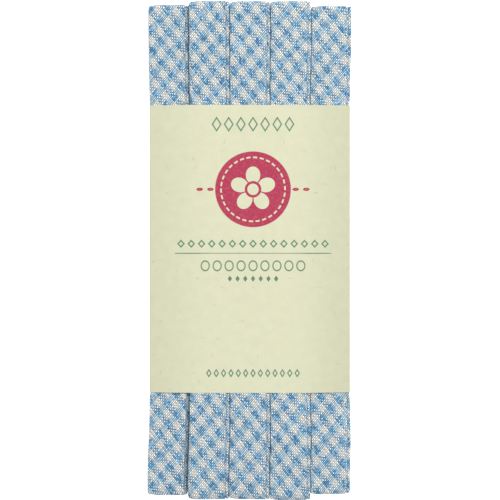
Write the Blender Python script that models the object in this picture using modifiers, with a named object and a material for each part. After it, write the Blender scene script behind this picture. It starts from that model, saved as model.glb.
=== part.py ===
"""A flat-wound roll of double-fold cotton bias tape, held closed by a paper band.

The roll lies on its back. X runs across its five columns of tape, +Y runs along them to the top of the
band's print, and +Z points up, out of the roll's face. The origin is the middle of the roll's
underside. Sizes are in metres.

The tape is one solid: a single folded strip that is wound lap after lap round a flat core of air.
Front laps run down the face, back laps climb the back and lean over to the next column, so the face
shows straight columns. An inner layer fills all five columns and an outer layer comes back over the
middle three.
"""
import math

import bmesh
import bpy
from mathutils import Matrix, Vector

MM = 0.001

# The folded tape, where nothing presses on it
TAPE_WIDTH = 10.9 * MM       # from the fold to the free edge of the under half
HALF_STEP = 1.0 * MM         # how much narrower the outer half is than the under half
TAPE_THICKNESS = 1.25 * MM   # two halves, each with its raw edge turned in
FOLD_ROUND = 1.5 * MM        # how far in the soft fold starts to round off
EDGE_ROUND = 0.3 * MM        # rounding of the free edges
FOLD_STEPS = 4               # straight facets round the fold

# The winding
COLUMNS = 5
COLUMN_PITCH = 11.05 * MM
ROLL_LENGTH = 135.5 * MM
LAP_GAP = 0.1 * MM           # between one lap and the lap on top of it
CORE_GAP = 0.25 * MM         # between the innermost front and back laps
TAIL_REACH = 31.0 * MM       # both ends of the tape are tucked this far past the bend, under the band
BEND_STEPS = 6               # facets in each half turn

# The band, a loop of paper pulled tight round the middle of the roll
BAND_LENGTH = 78.3 * MM
BAND_MIDDLE = 0.4 * MM       # the band sits this far above the middle of the roll
BAND_WALL = 0.3 * MM
BAND_CLEARANCE = 0.3 * MM
BAND_WIDTH = 54.3 * MM       # over the paper
BAND_CORNER_STEPS = 3        # facets in each crease of the paper

# How the band presses the roll
PRESSED_HEIGHT = 4.0 * MM    # height of the four laps inside the band
PRESS_MARGIN = 1.0 * MM      # the press lasts this far past the band's edges
PRESS_EASE = 12.0 * MM       # and fades out over this length
EASE_STEPS = 4

# Worked out from the sizes above
BACK_OUTER = TAPE_THICKNESS / 2
BACK_INNER = BACK_OUTER + TAPE_THICKNESS + LAP_GAP
FRONT_INNER = BACK_INNER + TAPE_THICKNESS + CORE_GAP
FRONT_OUTER = FRONT_INNER + TAPE_THICKNESS + LAP_GAP
ROLL_HEIGHT = FRONT_OUTER + TAPE_THICKNESS / 2
ROLL_WIDTH = (COLUMNS - 1) * COLUMN_PITCH + TAPE_WIDTH
INNER_RADIUS = (FRONT_INNER - BACK_INNER) / 2
OUTER_RADIUS = (FRONT_OUTER - BACK_OUTER) / 2
BEND_Y = ROLL_LENGTH / 2 - OUTER_RADIUS - TAPE_THICKNESS / 2   # where straight laps turn into bends
BAND_TOP = BAND_MIDDLE + BAND_LENGTH / 2
BAND_BOTTOM = BAND_MIDDLE - BAND_LENGTH / 2
PAPER_AND_AIR = BAND_WALL + BAND_CLEARANCE
PRESSED_WIDTH = BAND_WIDTH - 2 * PAPER_AND_AIR

# One row for each lap, in the order in which the tape is wound: the column it starts in, the column
# it ends in, and the height of its middle plane. Laps climb the back and run down the front in turn.
LAPS = [
    {"starts": 1, "ends": 1, "height": BACK_OUTER},    # the first tail, tucked under the band
    {"starts": 1, "ends": 1, "height": FRONT_INNER},
    {"starts": 1, "ends": 2, "height": BACK_INNER},
    {"starts": 2, "ends": 2, "height": FRONT_INNER},
    {"starts": 2, "ends": 3, "height": BACK_INNER},
    {"starts": 3, "ends": 3, "height": FRONT_INNER},
    {"starts": 3, "ends": 4, "height": BACK_INNER},
    {"starts": 4, "ends": 4, "height": FRONT_INNER},
    {"starts": 4, "ends": 5, "height": BACK_INNER},
    {"starts": 5, "ends": 5, "height": FRONT_INNER},
    {"starts": 5, "ends": 4, "height": BACK_OUTER},
    {"starts": 4, "ends": 4, "height": FRONT_OUTER},
    {"starts": 4, "ends": 3, "height": BACK_OUTER},
    {"starts": 3, "ends": 3, "height": FRONT_OUTER},
    {"starts": 3, "ends": 2, "height": BACK_OUTER},
    {"starts": 2, "ends": 2, "height": FRONT_OUTER},
    {"starts": 2, "ends": 1, "height": BACK_OUTER},    # the last tail, tucked under the band
]


def column_x(column):
    """The middle of a column, counted from 1 at the left of the roll's face."""
    return (column - (COLUMNS + 1) / 2) * COLUMN_PITCH


def press(y):
    """How hard the band presses the roll at y: 1 inside the band, 0 well away from it."""
    past_edge = max(y - BAND_TOP, BAND_BOTTOM - y) - PRESS_MARGIN
    share = min(max(past_edge / PRESS_EASE, 0.0), 1.0)
    return 0.5 + 0.5 * math.cos(math.pi * share)


def pressed(point):
    """Where the band moves a point of the loose roll: inwards, and flatter between the paper."""
    hold = press(point.y)
    narrower = 1 - hold * (1 - PRESSED_WIDTH / ROLL_WIDTH)
    flatter = 1 - hold * (1 - PRESSED_HEIGHT / ROLL_HEIGHT)
    return Vector((point.x * narrower, point.y, point.z * flatter + hold * PAPER_AND_AIR))


def folded_section():
    """The tape's section as (across, outwards) pairs: the fold on the left, the open step on the right."""
    side = TAPE_WIDTH / 2
    face = TAPE_THICKNESS / 2
    outline = [
        (side - EDGE_ROUND, -face),
        (side, -face + EDGE_ROUND),
        (side, 0.0),
        (side - HALF_STEP, 0.0),
        (side - HALF_STEP, face - EDGE_ROUND),
        (side - HALF_STEP - EDGE_ROUND, face),
    ]
    for step in range(FOLD_STEPS + 1):
        turn = math.pi / 2 + math.pi * step / FOLD_STEPS
        outline.append((-side + FOLD_ROUND + FOLD_ROUND * math.cos(turn), face * math.sin(turn)))
    return outline


def station(x, y, z, turn):
    """The place of one section of the tape, whose outside faces up at turn 0 and down at half a turn."""
    return Matrix.Translation((x, y, z)) @ Matrix.Rotation(turn, 4, "X")


def stretch_heights():
    """The y values, rising, at which a lap gets a section: at its bends and where the band's press eases."""
    eases = [PRESS_MARGIN + PRESS_EASE * step / EASE_STEPS for step in range(EASE_STEPS + 1)]
    below = [BAND_BOTTOM - ease for ease in reversed(eases)]
    above = [BAND_TOP + ease for ease in eases]
    return [-BEND_Y] + below + above + [BEND_Y]


def lap_stations(number, lap):
    """The sections of one straight lap. Even laps climb the back and odd laps run down the front."""
    climbs = number % 2 == 0
    ys = stretch_heights()
    if number == 0:
        ys = [BEND_Y - TAIL_REACH] + [y for y in ys if y > BEND_Y - TAIL_REACH]
    if number == len(LAPS) - 1:
        ys = [y for y in ys if y < TAIL_REACH - BEND_Y] + [TAIL_REACH - BEND_Y]
    stations = []
    for y in ys if climbs else reversed(ys):
        share = (y + BEND_Y) / (2 * BEND_Y) if climbs else 0.0
        start_x = column_x(lap["starts"])
        x = start_x + share * (column_x(lap["ends"]) - start_x)
        if number == 0:
            x += (1 - share) * COLUMN_PITCH
        stations.append(station(x, y, lap["height"], math.pi * (number + 1)))
    return stations


def bend_stations(number, lap, following):
    """The sections between two laps, on half a circle across the roll's thickness.

    Where the tape passes between the inner layer and the outer one, the half circle is squashed, and
    reaches no further than the inner layer's own bends.
    """
    end_y = BEND_Y if number % 2 == 0 else -BEND_Y
    middle = (lap["height"] + following["height"]) / 2
    rise = abs(lap["height"] - following["height"]) / 2
    reach = INNER_RADIUS if FRONT_INNER in (lap["height"], following["height"]) else rise
    stations = []
    for step in range(1, BEND_STEPS):
        turn = math.pi * (number + 1) + math.pi * step / BEND_STEPS
        y = end_y - reach * math.sin(turn)
        z = middle + rise * math.cos(turn)
        stations.append(station(column_x(lap["ends"]), y, z, turn))
    return stations


def winding():
    """Every section of the tape, from its first tail to its last."""
    stations = []
    for number, lap in enumerate(LAPS):
        stations += lap_stations(number, lap)
        if number + 1 < len(LAPS):
            stations += bend_stations(number, lap, LAPS[number + 1])
    return stations


def drawn_out(mesh, edges, move):
    """Extrude a loop of edges, move the new one by a matrix, and return its edges."""
    drawn = bmesh.ops.extrude_edge_only(mesh, edges=edges)["geom"]
    new_verts = {item for item in drawn if isinstance(item, bmesh.types.BMVert)}
    bmesh.ops.transform(mesh, matrix=move, verts=list(new_verts))
    new_edges = [item for item in drawn if isinstance(item, bmesh.types.BMEdge)]
    return [edge for edge in new_edges if new_verts.issuperset(edge.verts)]


def closed_loop(mesh, points):
    """A ring of vertices and edges through the points, as a list of edges."""
    ring = [mesh.verts.new(point) for point in points]
    return [mesh.edges.new(pair) for pair in zip(ring, ring[1:] + ring[:1])]


def make_tape():
    """Draw the folded section out along the winding, then let the band press it."""
    stations = winding()
    mesh = bmesh.new()
    edges = closed_loop(mesh, [stations[0] @ Vector((across, 0, out)) for across, out in folded_section()])
    for here, there in zip(stations, stations[1:]):
        edges = drawn_out(mesh, edges, there @ here.inverted())
    bmesh.ops.holes_fill(mesh, edges=mesh.edges)
    for vertex in mesh.verts:
        vertex.co = pressed(vertex.co)
    bmesh.ops.recalc_face_normals(mesh, faces=mesh.faces)
    return finished_object("wound_tape", mesh, cotton())


def pressed_corners():
    """The corners of the pressed roll that carry the paper, anticlockwise in X and Z from lower right."""
    slant_at_edge = COLUMN_PITCH * (BEND_Y + BAND_BOTTOM) / (2 * BEND_Y)
    low = (ROLL_WIDTH / 2 - slant_at_edge, 0.0)
    side_low = (ROLL_WIDTH / 2, FRONT_INNER - TAPE_THICKNESS / 2)
    side_high = (ROLL_WIDTH / 2 - EDGE_ROUND, FRONT_INNER + TAPE_THICKNESS / 2)
    high = (COLUMN_PITCH + TAPE_WIDTH / 2, ROLL_HEIGHT)
    right = [low, side_low, side_high, high]
    left = [(-x, z) for x, z in reversed(right)]
    middle = Vector((0, BAND_MIDDLE, 0))
    return [pressed(middle + Vector((x, 0, z))) for x, z in right + left]


def band_loop():
    """The paper's inner outline: tight round the corners, each crease an arc as wide as the clearance."""
    corners = pressed_corners()
    loop = []
    for index, corner in enumerate(corners):
        arriving = corner - corners[index - 1]
        leaving = corners[(index + 1) % len(corners)] - corner
        first = math.atan2(-arriving.x, arriving.z)
        turn = (math.atan2(-leaving.x, leaving.z) - first) % (2 * math.pi)
        for step in range(BAND_CORNER_STEPS + 1):
            angle = first + turn * step / BAND_CORNER_STEPS
            reach = Vector((math.cos(angle), 0, math.sin(angle))) * BAND_CLEARANCE
            loop.append(corner + reach)
    return loop


def make_band():
    """A sleeve of paper: the loop drawn out along Y, given its wall outwards by Solidify."""
    mesh = bmesh.new()
    edges = closed_loop(mesh, [(point.x, BAND_BOTTOM, point.z) for point in band_loop()])
    drawn_out(mesh, edges, Matrix.Translation((0, BAND_LENGTH, 0)))
    bmesh.ops.recalc_face_normals(mesh, faces=mesh.faces)
    band = finished_object("paper_band", mesh, paper())
    wall = band.modifiers.new("wall", "SOLIDIFY")
    wall.thickness = BAND_WALL
    wall.offset = 1.0
    wall.use_even_offset = True
    return band


def finish(name, colour, roughness):
    """A plain, non-metallic material."""
    material = bpy.data.materials.new(name)
    material.use_nodes = True
    shader = material.node_tree.nodes["Principled BSDF"]
    shader.inputs["Base Color"].default_value = (*colour, 1.0)
    shader.inputs["Roughness"].default_value = roughness
    shader.inputs["Metallic"].default_value = 0.0
    return material


def cotton():
    """Blue and off-white checked cotton, seen from where the checks run together."""
    return finish("checked_cotton", (0.33, 0.46, 0.56), 0.9)


def paper():
    """Uncoated recycled paper, a pale yellowish green."""
    return finish("recycled_paper", (0.75, 0.76, 0.54), 0.85)


def finished_object(name, mesh, material):
    """Turn a bmesh into an object of the roll's collection, in one material."""
    data = bpy.data.meshes.new(name)
    mesh.to_mesh(data)
    mesh.free()
    data.materials.append(material)
    made = bpy.data.objects.new(name, data)
    bpy.data.collections["bias_tape_roll"].objects.link(made)
    return made


def main():
    """Clear the scene and build the roll."""
    for leftover in list(bpy.data.objects):
        bpy.data.objects.remove(leftover)
    collection = bpy.data.collections.new("bias_tape_roll")
    bpy.context.scene.collection.children.link(collection)
    tape = make_tape()
    tape.data.shade_smooth()
    tape.data.set_sharp_from_angle(angle=math.radians(40))
    make_band()


main()
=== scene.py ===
# %% [markdown]
# # A flat-wound roll of cotton bias tape
#
# Bias tape is a strip of woven cotton cut slantwise across its threads, with both raw edges turned in
# and the whole folded in half. About two metres of it are wound flat, lap after lap, and a band of
# recycled paper holds the roll shut.
#
# The CAD model fixes the sizes and places. This script dresses it: the tape gets its soft folds, its
# open edges and its checked weave, and the band becomes thin paper with a print.

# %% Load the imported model
import math

import bmesh
import bpy
from mathutils import Matrix, Vector


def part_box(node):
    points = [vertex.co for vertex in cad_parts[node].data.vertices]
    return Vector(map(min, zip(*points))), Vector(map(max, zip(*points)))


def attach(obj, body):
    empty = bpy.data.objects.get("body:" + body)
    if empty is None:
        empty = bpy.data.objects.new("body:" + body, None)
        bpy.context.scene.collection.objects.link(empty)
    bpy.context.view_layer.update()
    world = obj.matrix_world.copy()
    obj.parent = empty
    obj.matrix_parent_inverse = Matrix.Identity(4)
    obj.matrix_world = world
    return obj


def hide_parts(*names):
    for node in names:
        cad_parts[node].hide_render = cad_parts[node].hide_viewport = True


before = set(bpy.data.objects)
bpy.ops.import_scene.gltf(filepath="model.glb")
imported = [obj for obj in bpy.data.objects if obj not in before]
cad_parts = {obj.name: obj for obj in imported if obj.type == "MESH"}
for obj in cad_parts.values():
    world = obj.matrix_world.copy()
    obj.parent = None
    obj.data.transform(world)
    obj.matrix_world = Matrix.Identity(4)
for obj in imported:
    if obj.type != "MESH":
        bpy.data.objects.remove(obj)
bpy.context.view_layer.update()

MM = 0.001
TAPE_LOW, TAPE_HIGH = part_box("wound_tape")
BAND_LOW, BAND_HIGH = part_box("paper_band")
BAND_MIDDLE = (BAND_LOW.y + BAND_HIGH.y) / 2
print("roll", [round(side / MM, 2) for side in TAPE_HIGH - TAPE_LOW], "mm")
print("band", [round(side / MM, 2) for side in BAND_HIGH - BAND_LOW], "mm")

# %% [markdown]
# ## The winding
#
# The tape climbs the back of the roll, leaning over to the next column, bends over the top, and runs
# straight down the face. An inner layer fills five columns from left to right, and an outer layer comes
# back over the middle three. Both ends are tucked in under the band.
#
# The width of the folded tape and the small gaps are the only sizes that the frame doesn't give. The
# pitch of the columns and the thickness of a lap follow from them and from the roll's own box.

# %% Sizes of the winding
TAPE_WIDTH = 10.98 * MM      # from the fold to the free edge of the under half
HALF_STEP = 1.0 * MM         # how much narrower the outer half is
LAP_GAP = 0.1 * MM           # between one lap and the lap on top of it
CORE_GAP = 0.25 * MM         # between the innermost front and back laps
TAIL_REACH = 31.0 * MM       # how far each end of the tape runs past its bend
COLUMNS = 5

ROLL_WIDTH = TAPE_HIGH.x - TAPE_LOW.x
ROLL_LENGTH = TAPE_HIGH.y - TAPE_LOW.y
ROLL_HEIGHT = TAPE_HIGH.z - TAPE_LOW.z
COLUMN_PITCH = (ROLL_WIDTH - TAPE_WIDTH) / (COLUMNS - 1)
LAP_THICKNESS = (ROLL_HEIGHT - 2 * LAP_GAP - CORE_GAP) / 4

BACK_OUTER = LAP_THICKNESS / 2
BACK_INNER = BACK_OUTER + LAP_THICKNESS + LAP_GAP
FRONT_INNER = BACK_INNER + LAP_THICKNESS + CORE_GAP
FRONT_OUTER = FRONT_INNER + LAP_THICKNESS + LAP_GAP
INNER_RADIUS = (FRONT_INNER - BACK_INNER) / 2
OUTER_RADIUS = (FRONT_OUTER - BACK_OUTER) / 2
BEND_Y = ROLL_LENGTH / 2 - OUTER_RADIUS - LAP_THICKNESS / 2
print(f"pitch {COLUMN_PITCH / MM:.2f} mm, lap {LAP_THICKNESS / MM:.2f} mm")
print(f"bends at {BEND_Y / MM:.1f} mm")

# %% The laps, in the order in which the tape is wound
LAPS = [
    {"starts": 1, "ends": 1, "height": BACK_OUTER},    # the first tail, tucked under the band
    {"starts": 1, "ends": 1, "height": FRONT_INNER},
    {"starts": 1, "ends": 2, "height": BACK_INNER},
    {"starts": 2, "ends": 2, "height": FRONT_INNER},
    {"starts": 2, "ends": 3, "height": BACK_INNER},
    {"starts": 3, "ends": 3, "height": FRONT_INNER},
    {"starts": 3, "ends": 4, "height": BACK_INNER},
    {"starts": 4, "ends": 4, "height": FRONT_INNER},
    {"starts": 4, "ends": 5, "height": BACK_INNER},
    {"starts": 5, "ends": 5, "height": FRONT_INNER},
    {"starts": 5, "ends": 4, "height": BACK_OUTER},
    {"starts": 4, "ends": 4, "height": FRONT_OUTER},
    {"starts": 4, "ends": 3, "height": BACK_OUTER},
    {"starts": 3, "ends": 3, "height": FRONT_OUTER},
    {"starts": 3, "ends": 2, "height": BACK_OUTER},
    {"starts": 2, "ends": 2, "height": FRONT_OUTER},
    {"starts": 2, "ends": 1, "height": BACK_OUTER},    # the last tail, tucked under the band
]

# Hand winding is never even. Each row names the lap before a bend, how much further that bend
# reaches than the frame's, and how far its edge slants over the width of the tape.
UNEVEN_BENDS = {
    0: {"further": 0.98 * MM, "slant": 0.0},
    1: {"further": 0.63 * MM, "slant": 0.0},
    8: {"further": 0.55 * MM, "slant": -0.10 * MM},
    9: {"further": 0.47 * MM, "slant": 0.30 * MM},
    10: {"further": 0.55 * MM, "slant": -0.10 * MM},
    11: {"further": 0.65 * MM, "slant": 0.10 * MM},
    12: {"further": 0.53 * MM, "slant": 0.0},
    13: {"further": 0.40 * MM, "slant": -0.10 * MM},
    14: {"further": 0.60 * MM, "slant": 0.10 * MM},
    15: {"further": 0.41 * MM, "slant": 0.10 * MM},
}
BEND_EASE = 14.0 * MM        # the unevenness of a bend fades out over this length

# Nor is the folding: at the foot of one lap the two halves lie almost edge to edge, and leave a gap.
FLUSH_LAP = 1
FLUSH_FROM = -30.0 * MM      # it starts here
FLUSH_EASE = 8.0 * MM        # and takes this length to reach its full share of the step
FLUSH_SHARE = 0.8


def column_x(column):
    """The middle of a column, counted from 1 at the left of the roll's face."""
    return (column - (COLUMNS + 1) / 2) * COLUMN_PITCH


print(len(LAPS), "laps in", COLUMNS, "columns")

# %% [markdown]
# ## Stations along the tape
#
# A station is a place for one section of the tape: a matrix that carries the flat section to where it
# lies in the roll, with its outside turned up on the face and down on the back. The stations are close
# together where the tape shows and far apart under the paper, where nothing of it is seen.

# %% Where each section of the tape goes
SHOWN_STEP = 0.9 * MM
HIDDEN_STEP = 6.0 * MM
BEND_STEPS = 12


def evenly(start, end, step):
    """Values from start towards end, evenly spaced, without the end itself."""
    count = max(1, round(abs(end - start) / step))
    return [start + (end - start) * index / count for index in range(count)]


def smooth(share):
    """An ease from 0 to 1 with a level start and end."""
    share = min(max(share, 0.0), 1.0)
    return share * share * (3 - 2 * share)


def stretch_heights():
    """The y values, rising, at which a straight lap gets a section."""
    below = evenly(-BEND_Y, BAND_LOW.y, SHOWN_STEP)
    inside = evenly(BAND_LOW.y, BAND_HIGH.y, HIDDEN_STEP)
    above = evenly(BAND_HIGH.y, BEND_Y, SHOWN_STEP)
    return below + inside + above + [BEND_Y]


def station(x, y, z, turn, slant, flush):
    """The place of one section, its turn from facing up, and how flush its two free edges are."""
    place = Matrix.Translation((x, y, z))
    place[1][0] = slant / TAPE_WIDTH
    return {"place": place @ Matrix.Rotation(turn, 4, "X"), "turn": turn, "flush": flush}


def unevenness(bend, y):
    """How much further a section near a bend lies than the frame says, and its slant."""
    uneven = UNEVEN_BENDS.get(bend)
    if uneven is None:
        return 0.0, 0.0
    share = smooth(1 - (BEND_Y - abs(y)) / BEND_EASE)
    outwards = 1 if y > 0 else -1
    return outwards * uneven["further"] * share, uneven["slant"] * share


def lap_stations(number, lap):
    """The sections of one straight lap. Even laps climb the back and odd laps run down the front."""
    climbs = number % 2 == 0
    ys = stretch_heights()
    if number == 0:
        ys = [y for y in ys if y >= BEND_Y - TAIL_REACH]
    if number == len(LAPS) - 1:
        ys = [y for y in ys if y <= TAIL_REACH - BEND_Y]
    stations = []
    for y in ys if climbs else reversed(ys):
        share = (y + BEND_Y) / (2 * BEND_Y) if climbs else 0.0
        start_x = column_x(lap["starts"])
        x = start_x + share * (column_x(lap["ends"]) - start_x)
        if number == 0:
            x += (1 - share) * COLUMN_PITCH
        ahead = (y > 0) == climbs
        further, slant = unevenness(number if ahead else number - 1, y)
        flush = FLUSH_SHARE * smooth((FLUSH_FROM - y) / FLUSH_EASE) if number == FLUSH_LAP else 0.0
        stations.append(station(x, y + further, lap["height"], math.pi * (number + 1), slant, flush))
    return stations


def bend_stations(number, lap, following):
    """The sections between two laps, on half a circle across the roll's thickness."""
    end_y = BEND_Y if number % 2 == 0 else -BEND_Y
    further, slant = unevenness(number, end_y)
    middle = (lap["height"] + following["height"]) / 2
    rise = abs(lap["height"] - following["height"]) / 2
    reach = INNER_RADIUS if FRONT_INNER in (lap["height"], following["height"]) else rise
    stations = []
    for step in range(1, BEND_STEPS):
        turn = math.pi * (number + 1) + math.pi * step / BEND_STEPS
        y = end_y + further - reach * math.sin(turn)
        z = middle + rise * math.cos(turn)
        flush = FLUSH_SHARE * (1 - step / BEND_STEPS) if number == FLUSH_LAP else 0.0
        stations.append(station(column_x(lap["ends"]), y, z, turn, slant, flush))
    return stations


# %% Wind the whole tape, and measure how far along it each station is
winding = []
lap_starts = []
for number, lap in enumerate(LAPS):
    lap_starts.append(len(winding))
    winding += lap_stations(number, lap)
    if number + 1 < len(LAPS):
        winding += bend_stations(number, lap, LAPS[number + 1])

travelled = 0.0
for here, there in zip([winding[0]] + winding, winding):
    travelled += (there["place"].translation - here["place"].translation).length
    there["along"] = travelled
print(len(winding), f"stations along {travelled:.3f} m of tape")

# %% [markdown]
# ## The folded section
#
# Cut across, the tape is two halves that share one soft fold on the left. Each half is two layers of
# cloth, because its raw edge is turned in, so its free edge is a small round fold too. The slit between
# the halves is real: the outer half is a millimetre narrower, and the light catches the step. Where its
# free edge was ironed into the under half, it has left a shallow furrow.
#
# The section is one closed ring of points that starts and ends at the bottom of the slit. Going round
# the ring is the same as crossing the strip of cloth before it was folded, so the distance round the
# ring is stored with each point and later becomes the cloth's own coordinate across.

# %% The ring of points round the folded tape
SLIT = 0.06 * MM             # how far the halves stand apart at the slit
FOLD_ROUND = 0.32 * MM       # how far in the soft fold starts to round off
SLIT_DEPTH = 0.30 * MM       # cloth between the bottom of the slit and the outside of the fold
FOLD_STEPS = 10
EDGE_STEPS = 6
FACE_STEP = 1.1 * MM         # between points on a flat face, and double that inside the slit
FURROW = {"depth": 0.23 * MM, "reach": 0.3 * MM, "step": 0.12 * MM}


def ellipse(centre_x, centre_z, reach_x, reach_z, start, end, steps):
    """Points on part of an ellipse, from one angle to another in degrees, with both ends."""
    points = []
    for step in range(steps + 1):
        turn = math.radians(start + (end - start) * step / steps)
        points.append((centre_x + reach_x * math.cos(turn), centre_z + reach_z * math.sin(turn)))
    return points


def pressed_in(across):
    """How deep the free edge of the outer half presses into the under half."""
    return FURROW["depth"] * (1 - smooth(abs(across - TAPE_WIDTH / 2 + HALF_STEP) / FURROW["reach"]))


def folded_section():
    """The ring as (across, outwards) pairs, anticlockwise from the bottom of the slit."""
    side = TAPE_WIDTH / 2
    half = LAP_THICKNESS / 2
    edge = (half - SLIT / 2) / 2
    edge_height = SLIT / 2 + edge
    outer_edge = side - HALF_STEP - edge
    under_edge = side - edge
    slit_end = -side + SLIT_DEPTH
    fold = -side + FOLD_ROUND
    ring = [(slit_end, 0.0)]
    ring += [(x, SLIT / 2) for x in evenly(fold, outer_edge, 2 * FACE_STEP)]
    ring += ellipse(outer_edge, edge_height, edge, edge, -90, 90, EDGE_STEPS)
    ring += [(x, half) for x in evenly(outer_edge, fold, FACE_STEP)[1:]]
    ring += ellipse(fold, 0.0, FOLD_ROUND, half, 90, 270, FOLD_STEPS)
    ring += [(x, -half) for x in evenly(fold, under_edge, FACE_STEP)[1:]]
    ring += ellipse(under_edge, -edge_height, edge, edge, -90, 90, EDGE_STEPS)
    ring += [(x, -SLIT / 2 - pressed_in(x)) for x in evenly(under_edge, outer_edge, FURROW["step"])[1:]]
    ring += [(x, -SLIT / 2) for x in evenly(outer_edge, fold, 2 * FACE_STEP)]
    return ring


def girths(ring):
    """The distance round the ring to each of its points, and the whole way round."""
    distance = 0.0
    reached = []
    for here, there in zip(ring, ring[1:] + ring[:1]):
        reached.append(distance)
        distance += math.dist(here, there)
    return reached, distance


section = folded_section()
section_girths, CUT_WIDTH = girths(section)
print(len(section), f"points; the flat strip is {CUT_WIDTH / MM:.1f} mm wide")

# %% [markdown]
# ## Make the tape straight, then wind it
#
# A cloth pattern has to follow the cloth, so the tape is first made straight: the ring is extruded once
# and cut across once for every station. While it is straight, its map is easy to write: distance round
# the ring one way, distance along the tape the other, both in metres. Only then is each cross cut
# carried to its station. The pattern then bends with the tape for free.
#
# The tape is made in eight lengths, one for each lap on the face, that meet under the band. It is one
# strip in the hand, but shorter lengths keep the threads sharp when the model is baked to images.

# %% One straight length
CLOTH_MAP = "unfolded_cloth"


def drawn_out(mesh, pairs, length, cuts):
    """Join pairs of points with edges, draw these out along Y, and cut the new faces across evenly."""
    edges = [mesh.edges.new(pair) for pair in pairs]
    drawn = bmesh.ops.extrude_edge_only(mesh, edges=edges)["geom"]
    far_verts = [item for item in drawn if isinstance(item, bmesh.types.BMVert)]
    bmesh.ops.translate(mesh, verts=far_verts, vec=(0, length, 0))
    lengthwise = [edge for edge in mesh.edges if abs(edge.verts[0].co.y - edge.verts[1].co.y) > MM]
    bmesh.ops.subdivide_edges(mesh, edges=lengthwise, cuts=cuts, use_grid_fill=True)


def straight_length(stations):
    """A folded strip, a metre along -Y, cut across evenly once for each station."""
    mesh = bmesh.new()
    girth_of = mesh.verts.layers.float.new("girth")
    ring = []
    for (across, outwards), girth in zip(section, section_girths):
        vertex = mesh.verts.new((across, 0, outwards))
        vertex[girth_of] = girth
        ring.append(vertex)
    drawn_out(mesh, zip(ring, ring[1:] + ring[:1]), length=-1, cuts=len(stations) - 2)
    return mesh


def station_number(vertex, stations):
    """Which station a vertex of the straight length belongs to."""
    return round(-vertex.co.y * (len(stations) - 1))


def write_cloth_map(mesh, stations):
    """Across and along the unfolded strip, in metres. Across grows to the right on the face."""
    cloth_map = mesh.loops.layers.uv.new(CLOTH_MAP)
    girth_of = mesh.verts.layers.float["girth"]
    for face in mesh.faces:
        widest = max(loop.vert[girth_of] for loop in face.loops)
        for loop in face.loops:
            girth = loop.vert[girth_of]
            if widest - girth > CUT_WIDTH / 2:
                girth += CUT_WIDTH
            along = stations[station_number(loop.vert, stations)]["along"]
            loop[cloth_map].uv = (CUT_WIDTH - girth, along)


# %% [markdown]
# ## How the roll settles
#
# The band squeezes the roll narrower and flatter, and the laps puff up a little between the band and
# the bends. Outside the band the columns sway a little, and at the foot they lean to the left. One
# function of place moves every lap alike, so neighbours that were apart stay apart.
#
# Before that, each bend gets its own shape: the corners of the flat tape pull in, the more so at the
# thick fold.

# %% The press of the band, and softer forms
PAPER = 0.12 * MM            # thickness of the band's paper
SLACK = 0.06 * MM            # air between the paper and the cloth
CLEAR = PAPER + SLACK
LIFT = 2 * CLEAR             # the band is double where it is glued, under the roll
PRESSED_HEIGHT = BAND_HIGH.z - LIFT - CLEAR
PRESS_MARGIN = 0.6 * MM      # the press lasts this far past the band's edges
PRESS_EASE = 16.0 * MM       # and fades out over this length
PUFF = 0.035                 # share by which the laps swell beside the band
WIDE_END = 0.23 * MM         # how far the loose ends of the roll spread past the frame's, to each side
WAIST = 0.38 * MM            # how far the band draws them in
WAIST_EASE = 20.0 * MM
GRIP = CLEAR                 # and how far again right under the paper
GRIP_EASE = 1.5 * MM
SWAYS = [
    {"reach": 0.06 * MM, "length": 4.1 * MM, "start": 0.6},
    {"reach": 0.07 * MM, "length": 9.0 * MM, "start": 0.0},
]
FOOT = {"from": -42.0 * MM, "ease": 24.0 * MM, "lean": 0.12 * MM}
FOOT_RIGHT = {"from": 15.0 * MM, "ease": 12.0 * MM, "lean": 0.19 * MM}    # leans this much more
RIPPLE = {"share": 0.012, "along": 2.6 * MM, "across": 3.7 * MM}
FOLD_CORNER = {"width": 3.0 * MM, "depth": 0.45 * MM}
STEP_CORNER = {"width": 0.5 * MM, "push": 0.55 * MM}


def past_band(y):
    """How far y lies outside the band, 0 inside it."""
    return max(y - BAND_HIGH.y, BAND_LOW.y - y, 0.0)


def press(y):
    """How hard the band presses the roll at y: 1 inside the band, 0 well away from it."""
    return 1 - smooth((past_band(y) - PRESS_MARGIN) / PRESS_EASE)


def settled(point):
    """Where a point of the loose roll ends up."""
    hold = press(point.y)
    past = past_band(point.y)
    drawn_in = WAIST * (1 - smooth(past / WAIST_EASE)) + GRIP * (1 - smooth(past / GRIP_EASE))
    sway = sum(wave["reach"] * math.sin(point.y / wave["length"] + wave["start"]) for wave in SWAYS)
    right = smooth((point.x - FOOT_RIGHT["from"]) / FOOT_RIGHT["ease"])
    lean = smooth((FOOT["from"] - point.y) / FOOT["ease"]) * (FOOT["lean"] + FOOT_RIGHT["lean"] * right)
    x = point.x * (1 + (WIDE_END - drawn_in) / (ROLL_WIDTH / 2)) + (1 - hold) * sway - lean
    free = min(past / (BEND_Y - BAND_HIGH.y), 1.0)
    puff = 1 + PUFF * math.sin(math.pi * free) ** 2
    z = point.z * puff * (1 - hold * (1 - PRESSED_HEIGHT / ROLL_HEIGHT)) + hold * LIFT
    ripple = math.sin(point.y / RIPPLE["along"] + point.x / RIPPLE["across"])
    return Vector((x, point.y, z * (1 + RIPPLE["share"] * ripple * (1 - hold))))


def corner_pull(across, turn):
    """How far a bend pulls in at the thick fold, and how far the thin step is pushed out instead."""
    side = TAPE_WIDTH / 2
    fold_share = max(0.0, 1 - (across + side) / FOLD_CORNER["width"])
    step_share = smooth((across - side + HALF_STEP) / STEP_CORNER["width"] + 0.5)
    pull = FOLD_CORNER["depth"] * fold_share ** 2 - STEP_CORNER["push"] * step_share
    return pull * abs(math.sin(turn))


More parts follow.
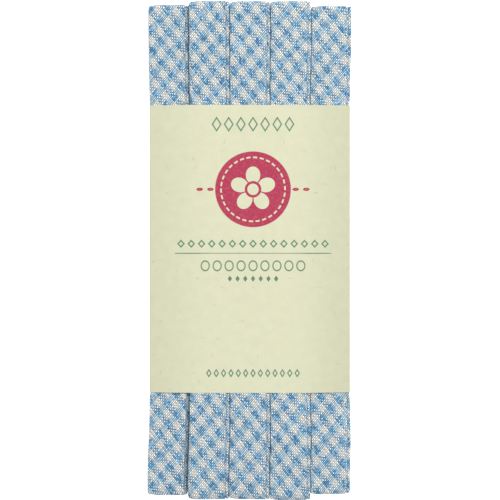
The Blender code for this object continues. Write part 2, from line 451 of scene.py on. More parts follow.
def flushed(across, outwards, flush):
    """Draw the under half's free edge in towards the outer half's: not at all at 0, to it at 1."""
    step = TAPE_WIDTH / 2 - HALF_STEP
    if outwards > 0 or across < step:
        return across
    return step + (across - step) * (1 - flush)


def wind(mesh, stations):
    """Carry every cross cut of a straight length to its station, and let it settle."""
    for vertex in mesh.verts:
        here = stations[station_number(vertex, stations)]
        across, _, outwards = vertex.co
        across = flushed(across, outwards, here["flush"])
        point = here["place"] @ Vector((across, 0, outwards))
        point.y -= corner_pull(across, here["turn"]) * (1 if point.y > 0 else -1)
        vertex.co = settled(point)


# %% [markdown]
# ## Turning a mesh into a piece
#
# Every piece is linked at the origin, with its place in its mesh, and is told which body it moves with,
# and the CAD solid that it stands in for is hidden.

# %% Helpers for pieces
def linked(name, mesh, material):
    """A smooth-shaded object from a bmesh."""
    data = bpy.data.meshes.new(name)
    mesh.to_mesh(data)
    mesh.free()
    data.materials.append(material)
    data.shade_smooth()
    made = bpy.data.objects.new(name, data)
    bpy.context.scene.collection.objects.link(made)
    return made


def dressed(piece, node):
    """Ride the roll's one body, and hide the CAD solid that the piece stands in for."""
    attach(piece, "root")
    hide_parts(node)
    return piece


# %% [markdown]
# ## One node at a time
#
# Materials are graphs. This one function adds a node, sets its options and plugs in its inputs, and the
# finishes below are sums written as such calls. Colours are given as on screen, in sRGB hex, and turned
# to the linear values that the shader wants.

# %% Helpers for finishes
def linear(hex_colour):
    """An sRGB colour such as '#6FA3CC' as linear red, green, blue and alpha."""
    channels = [int(hex_colour[start:start + 2], 16) / 255 for start in (1, 3, 5)]
    light = [c / 12.92 if c <= 0.04045 else ((c + 0.055) / 1.055) ** 2.4 for c in channels]
    return (*light, 1.0)


def add(material, kind, *feeds, **named):
    """Add one node. Its inputs get values or other nodes' outputs, in their order or by name, and names
    in small letters are its own options. It gives back its output, or all of them if it has several."""
    node = material.node_tree.nodes.new("ShaderNode" + kind)
    for option in filter(str.islower, named):
        setattr(node, option, named[option])
    fed = list(zip([socket for socket in node.inputs if socket.enabled], feeds))
    fed += [(node.inputs[name], feed) for name, feed in named.items() if not name.islower()]
    for socket, feed in fed:
        if isinstance(feed, bpy.types.NodeSocket):
            material.node_tree.links.new(feed, socket)
        else:
            socket.default_value = feed
    in_use = [socket for socket in node.outputs if socket.enabled]
    return in_use[0] if len(in_use) == 1 else node.outputs


def blank(name, roughness):
    """A new material with its Principled shader, non-metallic."""
    material = bpy.data.materials.new(name)
    material.use_nodes = True
    shader = material.node_tree.nodes["Principled BSDF"]
    shader.inputs["Roughness"].default_value = roughness
    shader.inputs["Metallic"].default_value = 0.0
    return material, shader


def surfaced(material, shader, colour, bumps):
    """Plug a finish's colour and its bumps into its shader."""
    material.node_tree.links.new(colour, shader.inputs["Base Color"])
    material.node_tree.links.new(bumps, shader.inputs["Normal"])
    return material


# %% [markdown]
# ## The cloth: yarn-dyed gingham, cut on the bias
#
# Gingham is plain weave with blue and white stripes of yarn both ways. The colour isn't printed, so it
# is made here as the loom makes it: number the yarns both ways, colour each by its number, and let the
# two sets take turns on top.
#
# On the tape the yarns run slantwise. Two slanted directions on the cloth map, one for each set, say
# where a yarn number grows: eight yarns to a repeat, 0.4 to 0.5 mm apart, as in the real cloth.

# %% Where the yarns run
# The repeat of the checks as two steps on the cloth, (across, along), one down-left and one down-right.
REPEAT_LEFT = Vector((-2.22, 2.64)) * MM
REPEAT_RIGHT = Vector((2.59, 3.19)) * MM
YARNS = 8                    # in one repeat: four blue, four white

spread = REPEAT_LEFT.x * REPEAT_RIGHT.y - REPEAT_LEFT.y * REPEAT_RIGHT.x
FALLING_STEP = Vector((REPEAT_RIGHT.y, -REPEAT_RIGHT.x)) * YARNS / spread
RISING_STEP = Vector((-REPEAT_LEFT.y, REPEAT_LEFT.x)) * YARNS / spread
print(f"yarns {1 / FALLING_STEP.length / MM:.2f} mm and {1 / RISING_STEP.length / MM:.2f} mm apart")


# %% [markdown]
# ## Yarn is never even
#
# Uneven yarn is what makes cloth look like cloth. Each yarn strays a little, has thick and thin places
# and takes its dye unevenly. Its crown is high in the middle and falls off to the gap beside it. The
# shade that falls in the gaps is painted into the colour as painted shade, and the gaps are painted
# deeper in colour too, because the light that comes out of them has met more fibres.

# %% Yarn crowns and the gaps between them
YARN_HEIGHT = 0.08 * MM
GAP_FALLING = 0.54           # how deep the gap between two yarns is, and how dark the shade painted into it
GAP_RISING = 0.7
MEAN_HEIGHT = (1 - GAP_FALLING / 3) * (1 - GAP_RISING / 3)
print(f"on average the cloth stands at {MEAN_HEIGHT:.2f} of its crowns")


# The height also serves below as painted shade, darkening the colour towards the gaps
def crown_height(cloth, yarn):
    """How high the cloth stands: 1 where two yarns cross middle on middle, less towards their gaps."""
    within = add(cloth, "VectorMath", yarn, operation="FRACTION")
    centred = add(cloth, "VectorMath", within, (2, 2, 0), (-1, -1, 0), operation="MULTIPLY_ADD")
    squared = add(cloth, "VectorMath", centred, centred, operation="MULTIPLY")
    falls = (-GAP_FALLING, -GAP_RISING, 0)
    crown = add(cloth, "VectorMath", squared, falls, (1, 1, 0), operation="MULTIPLY_ADD")
    x, y, _ = add(cloth, "SeparateXYZ", crown)
    return add(cloth, "Math", x, y, operation="MULTIPLY")


def more_in_gaps(cloth, height, mean, growth):
    """A value that keeps its mean and grows from the crowns to the gaps."""
    return add(cloth, "Math", height, -growth, mean + MEAN_HEIGHT * growth, operation="MULTIPLY_ADD")


# %% Two sets of dyed yarn
BLUE_FALLING = linear("#8BBEE1")    # the two sets were dyed apart
BLUE_RISING = linear("#7FC3EA")
WHITE_YARN = linear("#F7F9F5")
BLUE_SHARE = 0.499           # of a repeat; a touch under half, so that rounding can't add a yarn
SLUB = 0.2                   # how much thick and thin places change a yarn's brightness
SLUB_SCALE = 0.83
SLUB_LENGTH = 4.0            # how many times longer than wide they are
DYE_SPREAD = 0.85            # how much more or less dye a yarn holds from crossing to crossing
BLUE_SPECKS = 0.6            # and how much its brightness varies with it
GAP_PAINTED_DEPTH = 0.9                # painted light: how much deeper a gap's colour is drawn than a crown's
NOISE_RANGE = (0.3, 0.7)     # where nearly all of a noise's values lie
print(YARNS // 2, "blue yarns and", YARNS // 2, "white ones to a repeat")


def dyed_sets(cloth, yarn, number, height):
    """The falling and the rising set: their plain dyes, and how each looks from crossing to crossing."""
    share = add(cloth, "VectorMath", number, 1 / YARNS, operation="SCALE")
    shares = add(cloth, "SeparateXYZ", add(cloth, "VectorMath", share, operation="FRACTION"))
    numbers = add(cloth, "SeparateXYZ", number)
    drawn_long = add(cloth, "VectorMath", yarn, 1 / SLUB_LENGTH, operation="SCALE")
    lengthwise = add(cloth, "SeparateXYZ", drawn_long)
    crossing = add(cloth, "TexWhiteNoise", number, noise_dimensions="2D")[0]
    crossing = add(cloth, "Math", crossing, 0.5, operation="SUBTRACT")
    painted_gap_depth = more_in_gaps(cloth, height, 1.0, GAP_PAINTED_DEPTH)
    dyes, sets = [], []
    for this, other, blue in (("X", "Y", BLUE_FALLING), ("Y", "X", BLUE_RISING)):
        is_blue = add(cloth, "Math", shares[this], BLUE_SHARE, operation="LESS_THAN")
        dye = add(cloth, "Mix", is_blue, WHITE_YARN, blue, data_type="RGBA")
        dyes.append(dye)
        # Hand of the spinner: each yarn has thick and thin places along it
        place = add(cloth, "CombineXYZ", numbers[this], lengthwise[other])
        slub = add(cloth, "TexNoise", Vector=place, Scale=SLUB_SCALE, Detail=2.0)[0]
        slub = add(cloth, "MapRange", slub, *NOISE_RANGE, 1 - SLUB, 1 + SLUB, clamp=False)
        # Hand of the dyer: where a yarn holds less dye it is paler, and not just brighter.
        # Painted light: the gaps are drawn deeper in colour too, since light there has met more fibres.
        strength = add(cloth, "Math", crossing, -DYE_SPREAD, painted_gap_depth, operation="MULTIPLY_ADD")
        dye = add(cloth, "Gamma", dye, strength)
        specks = add(cloth, "Math", is_blue, BLUE_SPECKS, operation="MULTIPLY")
        specks = add(cloth, "Math", crossing, specks, 1.0, operation="MULTIPLY_ADD")
        bright = add(cloth, "Math", slub, specks, operation="MULTIPLY")
        sets.append(add(cloth, "VectorMath", dye, bright, operation="SCALE"))
    return dyes, sets


# %% [markdown]
# ## Over and under
#
# The two sets take turns on top, like a chessboard: add the two yarn numbers, and odd and even sums say
# which set is up. The yarn below still shows between the fibres, and gives its colour to the light that
# comes back out of the cloth. The rising set stands proud of the other and is drawn brighter, as painted
# light, and the other darker, as painted shade. The loom's reed leaves the falling set in pairs, with
# every second yarn a little deeper and drawn darker, as painted shade. Loose fibres lie over them all.

# %% Blue and off-white checked cotton
CLOTH_ROUGHNESS = 0.9
YARN_BUMP = 0.6
WANDER = 0.2 * MM            # how far a yarn strays from its straight line
WANDER_SCALE = 260.0
RISING_UNDER = 0.06          # how much of the rising yarn shows where it lies under a falling one
RISING_OVER = 0.7            # and where it lies over one, which is thicker and still shows beside it
GLOW = 0.22                  # share of the light that comes back out through both yarns
GAP_GLOW = 0.6               # and how much more of it comes out of a gap than off a crown
PROUD_PAINTED_LIGHT = 0.18                 # painted light: how much brighter the rising set is drawn on top, and how much darker, as painted shade, the other
PAIR_PAINTED_SHADE = 0.09               # painted shade and light: how much darker the deeper yarn of a pair is drawn, and how much brighter the other
FUZZ = 0.12                  # how much loose fibres brighten or darken the cloth
FUZZ_SCALE = 3600.0


def woven_colour(cloth, turn, height, dyes, sets):
    """The colour of the weave. Turn is 0 where the falling set is on top, 1 where the rising set is."""
    cover = add(cloth, "MapRange", turn, 0.0, 1.0, RISING_UNDER, RISING_OVER)
    woven = add(cloth, "Mix", cover, *sets, data_type="RGBA")
    through = add(cloth, "Mix", 1.0, *dyes, data_type="RGBA", blend_type="MULTIPLY")
    glow = more_in_gaps(cloth, height, GLOW, GAP_GLOW)
    return add(cloth, "Mix", glow, woven, through, data_type="RGBA", blend_type="MULTIPLY")


def checked_cotton():
    """Plain-woven cotton: matt, because its fibres scatter the light, and ridged by its yarns."""
    cloth, shader = blank("checked_cotton", CLOTH_ROUGHNESS)
    where = add(cloth, "UVMap", uv_map=CLOTH_MAP)
    stray = add(cloth, "TexNoise", Vector=where, Scale=WANDER_SCALE, Detail=2.0)["Color"]
    stray = add(cloth, "VectorMath", stray, (0.5, 0.5, 0.5), operation="SUBTRACT")
    strayed = add(cloth, "VectorMath", stray, (WANDER,) * 3, where, operation="MULTIPLY_ADD")
    falling = add(cloth, "VectorMath", strayed, (*FALLING_STEP, 0), operation="DOT_PRODUCT")
    rising = add(cloth, "VectorMath", strayed, (*RISING_STEP, 0), operation="DOT_PRODUCT")
    yarn = add(cloth, "CombineXYZ", falling, rising)
    number = add(cloth, "VectorMath", yarn, operation="FLOOR")
    falling_number, rising_number, _ = add(cloth, "SeparateXYZ", number)
    turn = add(cloth, "Math", falling_number, rising_number, operation="ADD")
    turn = add(cloth, "Math", turn, 2.0, operation="FLOORED_MODULO")
    height = crown_height(cloth, yarn)
    woven = woven_colour(cloth, turn, height, *dyed_sets(cloth, yarn, number, height))

    painted_proud_light = add(cloth, "MapRange", turn, 0.0, 1.0, 1 - PROUD_PAINTED_LIGHT, 1 + PROUD_PAINTED_LIGHT)
    # Painted shade: every second falling yarn lies deeper and is drawn darker, the other brighter
    pair = add(cloth, "Math", falling_number, 2.0, operation="FLOORED_MODULO")
    pair = add(cloth, "MapRange", pair, 0.0, 1.0, 1 + PAIR_PAINTED_SHADE, 1 - PAIR_PAINTED_SHADE)
    fuzz = add(cloth, "TexNoise", Vector=where, Scale=FUZZ_SCALE, Detail=1.0)[0]
    fuzz = add(cloth, "MapRange", fuzz, *NOISE_RANGE, 1 - FUZZ, 1 + FUZZ)
    # Painted shade: the crown height darkens the colour in the gaps; the painted light and shade of the
    # proud set and the pairs, and the random tone of loose fibres, multiply in
    shade = height
    for factor in (painted_proud_light, pair, fuzz):
        shade = add(cloth, "Math", shade, factor, operation="MULTIPLY")
    colour = add(cloth, "VectorMath", woven, shade, operation="SCALE")
    ridges = add(cloth, "Bump", Height=height, Distance=YARN_HEIGHT, Strength=YARN_BUMP)
    return surfaced(cloth, shader, colour, ridges)


cotton = checked_cotton()
print(cotton.name, "has", len(cotton.node_tree.nodes), "nodes")

# %% Wind the eight lengths
def make_length(name, stations):
    """One length of the tape, closed at both ends and wound into the roll."""
    mesh = straight_length(stations)
    write_cloth_map(mesh, stations)
    bmesh.ops.holes_fill(mesh, edges=[edge for edge in mesh.edges if edge.is_boundary])
    bmesh.ops.recalc_face_normals(mesh, faces=mesh.faces)
    wind(mesh, stations)
    return dressed(linked(name, mesh, cotton), "wound_tape")


# The tape is cut in the middle of every back lap, where the band hides it, but not in its tails
back_laps = range(2, len(LAPS) - 1, 2)
cuts = [(lap_starts[number] + lap_starts[number + 1]) // 2 for number in back_laps]
for number, (start, end) in enumerate(zip([0] + cuts, cuts + [len(winding) - 1]), start=1):
    length = make_length(f"tape_length_{number}", winding[start:end + 1])
    print(length.name, len(length.data.polygons), "faces")

# %% [markdown]
# ## The paper band
#
# The band is one strip of recycled paper, wrapped tight round the roll and glued to itself at the back.
# Pulled tight, paper runs straight from one corner of the roll to the next, so its outline is a polygon:
# flat over the outer laps, falling away to the lower outer columns, creased at the sides, and flat under
# the back. The creases at the sides are short, and the bend over the outer laps is long and soft.
#
# A closed loop would be simpler, but then there would be no glued overlap, which the back of every such
# band shows. So the strip is open: it starts under the overlap, goes once round, steps out by its own
# thickness and ends on top of its start. Solidify gives it its wall, inwards.

# %% The outline of the strip
OVERLAP = 12.0 * MM          # how far the end lies over the start
STEP_LENGTH = 2.5 * MM       # where the paper steps out over its own start
CREASE = 0.35 * MM           # length of the bend at a side crease, before and after the corner
SOFT_BEND = 5.0 * MM         # and over the edge of the outer laps
ROUND_STEPS = 6


def roll_corners():
    """Corners of the band's right side in X and Z, from the back up to the face."""
    slant_at_edge = COLUMN_PITCH * (BEND_Y + BAND_LOW.y) / (2 * BEND_Y)
    low = settled(Vector((ROLL_WIDTH / 2 - slant_at_edge, BAND_MIDDLE, 0)))
    side_low = settled(Vector((ROLL_WIDTH / 2, BAND_MIDDLE, FRONT_INNER - LAP_THICKNESS / 2)))
    side_high = settled(Vector((ROLL_WIDTH / 2, BAND_MIDDLE, FRONT_INNER + LAP_THICKNESS / 2)))
    high = settled(Vector((COLUMN_PITCH + TAPE_WIDTH / 2, BAND_MIDDLE, ROLL_HEIGHT)))
    return [
        {"x": low.x + CLEAR, "z": CLEAR, "round": CREASE},
        {"x": side_low.x + CLEAR, "z": side_low.z, "round": CREASE},
        {"x": side_high.x + CLEAR, "z": side_high.z + CLEAR / 2, "round": CREASE},
        {"x": high.x, "z": BAND_HIGH.z, "round": SOFT_BEND},
    ]


def rounded_corner(before, corner, after):
    """Points on a smooth curve that cuts off one corner."""
    point = Vector((corner["x"], corner["z"]))
    arriving = (Vector((before["x"], before["z"])) - point).normalized() * corner["round"]
    leaving = (Vector((after["x"], after["z"])) - point).normalized() * corner["round"]
    curve = []
    for step in range(ROUND_STEPS + 1):
        share = step / ROUND_STEPS
        curve.append(point + arriving * (1 - share) ** 2 + leaving * share ** 2)
    return curve


def band_outline():
    """The strip's outside, from its start under the overlap, clockwise round the roll, to its end."""
    right = roll_corners()
    left = [{**corner, "x": -corner["x"]} for corner in right]
    corners = left + right[::-1]
    start = {"x": OVERLAP / 2, "z": CLEAR}
    outline = [Vector((start["x"], start["z"]))]
    for before, corner, after in zip([start] + corners, corners, corners[1:] + [start]):
        outline += rounded_corner(before, corner, after)
    for step in range(ROUND_STEPS + 1):
        share = step / ROUND_STEPS
        x = OVERLAP / 2 + (1 - share) * STEP_LENGTH + SLACK
        outline.append(Vector((x, CLEAR * (1 - smooth(share)))))
    outline.append(Vector((-OVERLAP / 2, 0.0)))
    return outline


outline = band_outline()
print(len(outline), "points round the band")

# %% [markdown]
# ## The paper
#
# Uncoated recycled paper is matt and cloudy, with short stray fibres of every direction in it. Each
# fibre is drawn in its own cell of a Voronoi pattern: the cell gives its middle and its angle, and a
# thin ellipse is what remains of it.

# %% Stray fibres in the paper
FIBRE_CELLS = 430.0          # to a metre
FIBRE_CURL = {"scale": 500.0, "reach": 1.2 * MM}
FIBRE_SLIM = (1100, 7500, 0)    # one over half a fibre's length and half its thickness, in metres
FIBRE_EDGE = 0.5             # a fibre fades from here to its outline
FIBRES_HIDDEN = 0.8          # share of the cells whose fibre lies too deep to be seen
FIBRE_STRENGTH = 0.5         # of the one that lies highest
print(f"fibres {2 / FIBRE_SLIM[0] / MM:.1f} mm long and {2 / FIBRE_SLIM[1] / MM:.2f} mm thick")


def fibre_mask(sheet, place):
    """Short stray fibres, each a thin ellipse at its own angle in its own cell."""
    curl = add(sheet, "TexNoise", Vector=place, Scale=FIBRE_CURL["scale"], Detail=1.0)["Color"]
    curled = add(sheet, "VectorMath", curl, (FIBRE_CURL["reach"],) * 3, place, operation="MULTIPLY_ADD")
    flat = add(sheet, "VectorMath", curled, (1, 1, 0), operation="MULTIPLY")
    cells = add(sheet, "TexVoronoi", Vector=flat, Scale=FIBRE_CELLS, voronoi_dimensions="2D")
    offset = add(sheet, "VectorMath", flat, cells["Position"], operation="SUBTRACT")
    direction, hiding, _ = add(sheet, "SeparateColor", cells["Color"])
    angle = add(sheet, "Math", direction, 2 * math.pi, operation="MULTIPLY")
    turned = add(sheet, "VectorRotate", Vector=offset, Angle=angle, rotation_type="Z_AXIS")
    away = add(sheet, "VectorMath", turned, FIBRE_SLIM, operation="MULTIPLY")
    away = add(sheet, "VectorMath", away, operation="LENGTH")
    inside = add(sheet, "MapRange", away, 1.0, FIBRE_EDGE)
    chosen = add(sheet, "MapRange", hiding, FIBRES_HIDDEN, 1.0, 0.0, FIBRE_STRENGTH)
    return add(sheet, "Math", inside, chosen, operation="MULTIPLY")


# %% [markdown]
# ## The print
#
# Two inks, raspberry and green. The motifs are a sewing table's own and nobody's mark: a roundel with
# a blossom in a ring of running stitch, and rows of diamonds, rings and dashes with one fine rule. A row
# is one shape that repeats, and the same small graph draws a diamond, a ring or a rule, depending on one
# number, its roundness.

# %% Rows of the print
# Sizes are in millimetres. y is up from the middle of the band; an odd count of marks stands pitch
# apart; wide and tall are half a mark's size; hollow is the share of a mark that is left open; a row
# with a gap leaves its middle free.
GREEN_ROWS = [
    {"y": 33.9, "count": 7, "pitch": 3.3, "wide": 1.35, "tall": 2.1, "roundness": 1.0, "hollow": 0.69},
    {"y": 1.4, "count": 15, "pitch": 2.8, "wide": 1.05, "tall": 1.15, "roundness": 1.0, "hollow": 0.54},
    {"y": -1.2, "count": 1, "pitch": 43.0, "wide": 21.4, "tall": 0.14, "roundness": 8.0, "hollow": 0.0},
    {"y": -4.6, "count": 9, "pitch": 3.25, "wide": 1.25, "tall": 1.5, "roundness": 2.0, "hollow": 0.75},
    {"y": -8.1, "count": 7, "pitch": 2.1, "wide": 0.6, "tall": 0.85, "roundness": 1.0, "hollow": 0.0},
    {"y": -33.8, "count": 13, "pitch": 2.0, "wide": 0.75, "tall": 1.2, "roundness": 1.0, "hollow": 0.52},
]
RASPBERRY_ROWS = [
    {"y": 16.2, "count": 11, "pitch": 2.9, "wide": 0.9, "tall": 0.45, "roundness": 2.0, "hollow": 0.0,
     "gap": 10.15},
]
INK_EDGE = 0.06              # softness of an ink edge, as a share of the mark's size
print(len(GREEN_ROWS), "green rows and", len(RASPBERRY_ROWS), "raspberry row")


def row_mask(sheet, spot, row):
    """One row of marks: 1 in the ink. The mark's outline is |x|^n + |y|^n = 1, with n its roundness."""
    shifted = add(sheet, "VectorMath", spot, (0, -row["y"], 0), operation="ADD")
    x, y, _ = add(sheet, "SeparateXYZ", shifted)
    along = add(sheet, "Math", x, operation="ABSOLUTE")
    x = add(sheet, "Math", x, -row["pitch"] / 2, row["pitch"] / 2, operation="WRAP")
    mark = add(sheet, "CombineXYZ", x, y)
    mark = add(sheet, "VectorMath", mark, (1 / row["wide"], 1 / row["tall"], 0), operation="MULTIPLY")
    mark = add(sheet, "VectorMath", mark, operation="ABSOLUTE")
    x, y, _ = add(sheet, "SeparateXYZ", mark)
    x = add(sheet, "Math", x, row["roundness"], operation="POWER")
    y = add(sheet, "Math", y, row["roundness"], operation="POWER")
    size = add(sheet, "Math", x, y, operation="ADD")
    inside = add(sheet, "MapRange", size, 1 + INK_EDGE, 1 - INK_EDGE)
    open_size = row["hollow"] ** row["roundness"]
    filled = add(sheet, "MapRange", size, open_size - INK_EDGE, open_size + INK_EDGE)
    ink = add(sheet, "Math", inside, filled, operation="MULTIPLY")
    near = row.get("gap", 0.0)
    far = row["count"] * row["pitch"] / 2
    within = add(sheet, "Math", along, (near + far) / 2, (far - near) / 2, operation="COMPARE")
    return add(sheet, "Math", ink, within, operation="MULTIPLY")


# %% The roundel
ROUNDEL = {"y": 16.2, "radius": 10.3, "edge": 0.08}
STITCHES = {"count": 30, "ring": 8.7, "thickness": 0.22, "share": 0.62}    # share is the thread's
BLOSSOM = {"petals": 5, "roundness": 0.55, "reach": 4.6, "root": 1.6, "parting": 0.36,
           "eye": 1.9, "eye_line": 0.35}
print(f"roundel {2 * ROUNDEL['radius']:.1f} mm across, with {STITCHES['count']} stitches")


def roundel_mask(sheet, spot):
    """A disc of ink with a blossom and a ring of stitches left open in it."""
    centred = add(sheet, "VectorMath", spot, (0, -ROUNDEL["y"], 0), operation="ADD")
    away = add(sheet, "VectorMath", centred, operation="LENGTH")
    x, y, _ = add(sheet, "SeparateXYZ", centred)
    angle = add(sheet, "Math", x, y, operation="ARCTAN2")
    outside, edge = ROUNDEL["radius"], ROUNDEL["edge"]
    disc = add(sheet, "MapRange", away, outside + edge, outside - edge)
    ring = add(sheet, "Math", away, STITCHES["ring"], STITCHES["thickness"], operation="COMPARE")
    stitch = add(sheet, "Math", angle, STITCHES["count"] / (2 * math.pi), operation="MULTIPLY")
    stitch = add(sheet, "Math", stitch, operation="FRACT")
    stitch = add(sheet, "Math", stitch, STITCHES["share"], operation="LESS_THAN")
    ring = add(sheet, "Math", ring, stitch, operation="MULTIPLY")
    left_open = add(sheet, "Math", ring, blossom_mask(sheet, away, angle), operation="MAXIMUM")
    return add(sheet, "Math", disc, left_open, operation="SUBTRACT", use_clamp=True)


def blossom_mask(sheet, away, angle):
    """Five round petals with a line between them, round a small eye."""
    lobe = add(sheet, "Math", angle, BLOSSOM["petals"] / 2, operation="MULTIPLY")
    lobe = add(sheet, "Math", lobe, operation="COSINE")
    lobe = add(sheet, "Math", lobe, operation="ABSOLUTE")
    lobe = add(sheet, "Math", lobe, BLOSSOM["roundness"], operation="POWER")
    rim = add(sheet, "Math", lobe, BLOSSOM["reach"], BLOSSOM["root"], operation="MULTIPLY_ADD")
    petals = add(sheet, "Math", away, rim, operation="LESS_THAN")
    apart = add(sheet, "Math", lobe, BLOSSOM["parting"], operation="GREATER_THAN")
    petals = add(sheet, "Math", petals, apart, operation="MULTIPLY")
    core = add(sheet, "Math", away, BLOSSOM["eye"], operation="LESS_THAN")
    petals = add(sheet, "Math", petals, core, operation="MAXIMUM")
    eye = add(sheet, "Math", away, BLOSSOM["eye"], BLOSSOM["eye_line"], operation="COMPARE")
    return add(sheet, "Math", petals, eye, operation="SUBTRACT", use_clamp=True)


# %% Both inks on the paper
PRINT_X = 0.85               # the printer's sheet sat this far to the right
GREEN_INK = linear("#5C8668")
RASPBERRY_INK = linear("#B33354")
INK_RUB = 0.07               # how much of the ink is rubbed off where most is
RUB_SCALE = 1500.0
RUB_RANGE = (0.3, 0.55)


def printed(sheet, place, colour):
    """The paper's colour with both inks on it, on the band's face alone."""
    spot = add(sheet, "VectorMath", place, (0, -BAND_MIDDLE, 0), operation="ADD")
    per_mm = (1 / MM, 1 / MM, 0)
    spot = add(sheet, "VectorMath", spot, per_mm, (-PRINT_X, 0, 0), operation="MULTIPLY_ADD")
    height = add(sheet, "SeparateXYZ", place)["Z"]
    face = add(sheet, "Math", height, (BAND_LOW.z + BAND_HIGH.z) / 2, operation="GREATER_THAN")
    rub = add(sheet, "TexNoise", Vector=place, Scale=RUB_SCALE, Detail=2.0)[0]
    rub = add(sheet, "MapRange", rub, *RUB_RANGE, 1 - INK_RUB, 1.0)
    covered = add(sheet, "Math", face, rub, operation="MULTIPLY")
    raspberry = [row_mask(sheet, spot, row) for row in RASPBERRY_ROWS] + [roundel_mask(sheet, spot)]
    green = [row_mask(sheet, spot, row) for row in GREEN_ROWS]
    for ink, shapes in ((GREEN_INK, green), (RASPBERRY_INK, raspberry)):
        mask = 0.0
        for shape in shapes:
            mask = add(sheet, "Math", shape, mask, operation="MAXIMUM")
        mask = add(sheet, "Math", mask, covered, operation="MULTIPLY")
        colour = add(sheet, "Mix", mask, colour, ink, data_type="RGBA")
    return colour


# %% Pale recycled paper
PAPER_COLOUR = linear("#D9D9BB")
FIBRE_COLOUR = linear("#A9AA8F")
PAPER_ROUGHNESS = 0.85
PAPER_CLOUDS = 0.035         # how much the paper's brightness varies
CLOUD_SCALE = 420.0
CLOUD_RANGE = (0.25, 0.75)
LEFT_PAINTED_SHADE = 0.06           # painted shade: how much darker the paper is drawn at its left crease
RIGHT_PAINTED_SHADE = 0.14
PAINTED_SHADE_FROM = 0.35           # where that painted shade starts, as a share of the way from the middle to the crease
GRAIN = {"scale": 2600.0, "depth": 0.02 * MM, "strength": 0.5}


def recycled_paper():
    """Uncoated recycled paper: pale, yellowish, matt and cloudy, with its print."""
    sheet, shader = blank("recycled_paper", PAPER_ROUGHNESS)
    place = add(sheet, "TexCoord")["Object"]
    clouds_and_painted_shade = add(sheet, "TexNoise", Vector=place, Scale=CLOUD_SCALE, Detail=5.0)[0]
    clouds_and_painted_shade = add(sheet, "MapRange", clouds_and_painted_shade, *CLOUD_RANGE, 1 - PAPER_CLOUDS, 1 + PAPER_CLOUDS)
    across = add(sheet, "SeparateXYZ", place)["X"]
    # Painted shade: the paper is drawn darker towards both side creases, more towards the right one
    for crease, darkening in ((BAND_LOW.x, LEFT_PAINTED_SHADE), (BAND_HIGH.x, RIGHT_PAINTED_SHADE)):
        painted_shade = add(sheet, "MapRange", across, PAINTED_SHADE_FROM * crease, crease, 1.0, 1 - darkening,
                     interpolation_type="SMOOTHSTEP")
        clouds_and_painted_shade = add(sheet, "Math", clouds_and_painted_shade, painted_shade, operation="MULTIPLY")
    colour = add(sheet, "VectorMath", PAPER_COLOUR[:3], clouds_and_painted_shade, operation="SCALE")
    colour = add(sheet, "Mix", fibre_mask(sheet, place), colour, FIBRE_COLOUR, data_type="RGBA")
    colour = printed(sheet, place, colour)
    grain = add(sheet, "TexNoise", Vector=place, Scale=GRAIN["scale"], Detail=3.0)[0]
    nap = add(sheet, "Bump", Height=grain, Distance=GRAIN["depth"], Strength=GRAIN["strength"])
    return surfaced(sheet, shader, colour, nap)


paper = recycled_paper()
print(paper.name, "has", len(paper.node_tree.nodes), "nodes")

# %% Wrap the band
BAND_CUTS = 24               # across its height, so that its faces aren't long slivers
SHARP_FOLD = math.radians(40)    # a fold steeper than this keeps a hard line


def make_band():
    """The strip's outline drawn out along the roll, and given its wall inwards."""
    mesh = bmesh.new()
    points = [mesh.verts.new((point.x, BAND_LOW.y, point.y)) for point in outline]
    drawn_out(mesh, zip(points, points[1:]), length=BAND_HIGH.y - BAND_LOW.y, cuts=BAND_CUTS)
    bmesh.ops.recalc_face_normals(mesh, faces=mesh.faces)
    bmesh.ops.solidify(mesh, geom=mesh.faces[:], thickness=PAPER)
    sheet = linked("paper_band_sheet", mesh, paper)
    sheet.data.set_sharp_from_angle(angle=SHARP_FOLD)
    return dressed(sheet, "paper_band")


band = make_band()
print(band.name, len(band.data.polygons), "faces")

# %% [markdown]
# ## Floor, light and camera
#
# The roll lies on a white table under soft light from above, a little to the right, so that each
# column throws a thin line of shade on the step of its left neighbour. The camera looks straight
# down through a long lens, from so far away that the sides of the roll don't show.

# %% The table
FLOOR_SIZE = 3.0
FLOOR_DROP = 0.05 * MM       # below the roll, so that the two don't touch
TABLE_ROUGHNESS = 0.6
TABLE_GLOW = 0.8


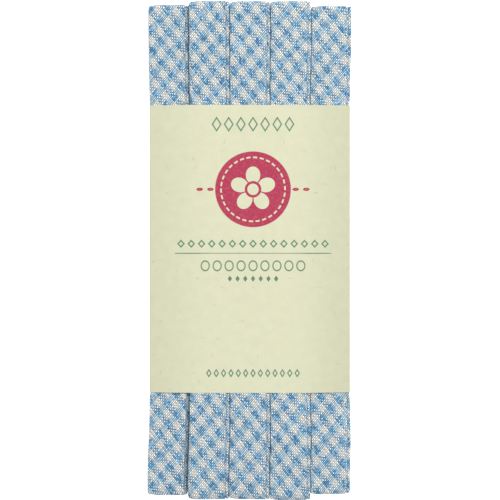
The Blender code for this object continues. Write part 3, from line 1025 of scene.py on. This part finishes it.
def white_table():
    """A matt white laminate that glows a little, as a light table does, and swallows weak shadows."""
    table, shader = blank("white_laminate", TABLE_ROUGHNESS)
    shader.inputs["Base Color"].default_value = linear("#F7F7F7")
    shader.inputs["Emission Color"].default_value = (1, 1, 1, 1)
    shader.inputs["Emission Strength"].default_value = TABLE_GLOW
    return table


mesh = bmesh.new()
bmesh.ops.create_grid(mesh, x_segments=4, y_segments=4, size=FLOOR_SIZE / 2)
bmesh.ops.translate(mesh, verts=mesh.verts, vec=(0, 0, -FLOOR_DROP))
floor = linked("table_top", mesh, white_table())

# %% Soft light
LAMP_PLACE = Vector((0.23, 0.25, 0.85))
LAMP_SIZE = 0.35
LAMP_POWER = 6.9
ROOM_LIGHT = 0.37

lamp = bpy.data.objects.new("overhead_softbox", bpy.data.lights.new("overhead_softbox", "AREA"))
lamp.data.size = LAMP_SIZE
lamp.data.energy = LAMP_POWER
lamp.location = LAMP_PLACE
lamp.rotation_euler = (-LAMP_PLACE).to_track_quat("-Z", "Y").to_euler()    # it looks at the roll
bpy.context.scene.collection.objects.link(lamp)

world = bpy.data.worlds.new("bright_room")
world.use_nodes = True
world.node_tree.nodes["Background"].inputs["Color"].default_value = (1, 1, 1, 1)
world.node_tree.nodes["Background"].inputs["Strength"].default_value = ROOM_LIGHT
bpy.context.scene.world = world
bpy.context.scene.view_settings.view_transform = "Standard"
bpy.context.scene.cycles.denoising_prefilter = "NONE"    # or the weave is smoothed away with the noise

# %% The camera
VIEW_HEIGHT = 136.3 * MM     # what the square picture takes in, at the height of the face
SENSOR = 36.0
LENS = 85.0
AIM = Vector((0.03 * MM, 0.1 * MM, 0.8 * ROLL_HEIGHT))

camera = bpy.data.objects.new("camera_above", bpy.data.cameras.new("camera_above"))
camera.data.lens = LENS
camera.data.sensor_width = SENSOR
camera.location = AIM + Vector((0, 0, VIEW_HEIGHT * LENS / SENSOR))
bpy.context.scene.collection.objects.link(camera)
bpy.context.scene.camera = camera
print(f"camera {camera.location.z:.3f} m above the table")
